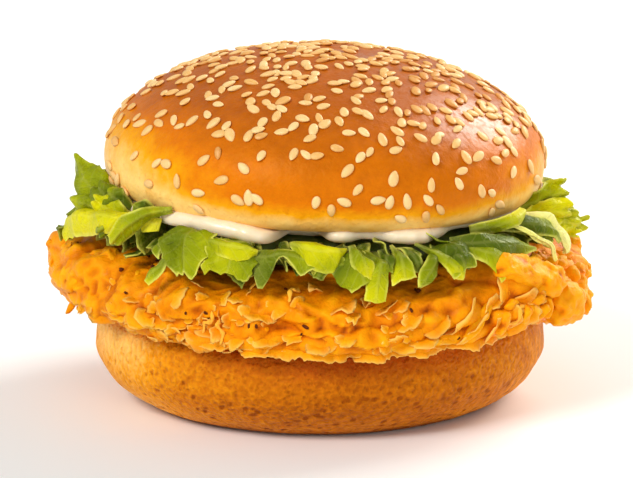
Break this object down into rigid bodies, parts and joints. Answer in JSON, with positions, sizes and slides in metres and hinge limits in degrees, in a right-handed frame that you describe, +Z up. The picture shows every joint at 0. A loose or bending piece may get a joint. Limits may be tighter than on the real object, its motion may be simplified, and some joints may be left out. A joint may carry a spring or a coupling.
{
  "type": "chicken burger",
  "caption": "Breaded chicken fillet in a seeded bun with shredded lettuce and mayonnaise, stacked in layers on a flat base.",
  "frame": {"origin": "centre of the heel bun's flat base, on the table", "axes": "+Z up; +X to the right of someone who faces the front, along the fillet's length; +Y away from them"},
  "size_m": [0.1257, 0.1118, 0.0792],
  "materials": {
    "heel_crust": "baked bread crust, golden brown, satin with small pits",
    "crown_crust": "glazed bread crust, orange brown on top and pale at the rim",
    "fried_crust": "craggy fried breading, golden orange, slightly oily",
    "lettuce_leaf": "fresh leaf, waxy, yellow green to dark green",
    "mayonnaise_cream": "smooth glossy cream white sauce",
    "sesame_seed": "toasted hulled seed, ivory to light tan",
    "pepper_speck": "dark brown speck of cracked pepper"
  },
  "bodies": {
    "root": {"heel_bun": "heel_crust", "chicken_fillet": "fried_crust", "shredded_lettuce": "lettuce_leaf", "mayonnaise": "mayonnaise_cream", "crown_bun": "crown_crust"}
  },
  "joints": []
}
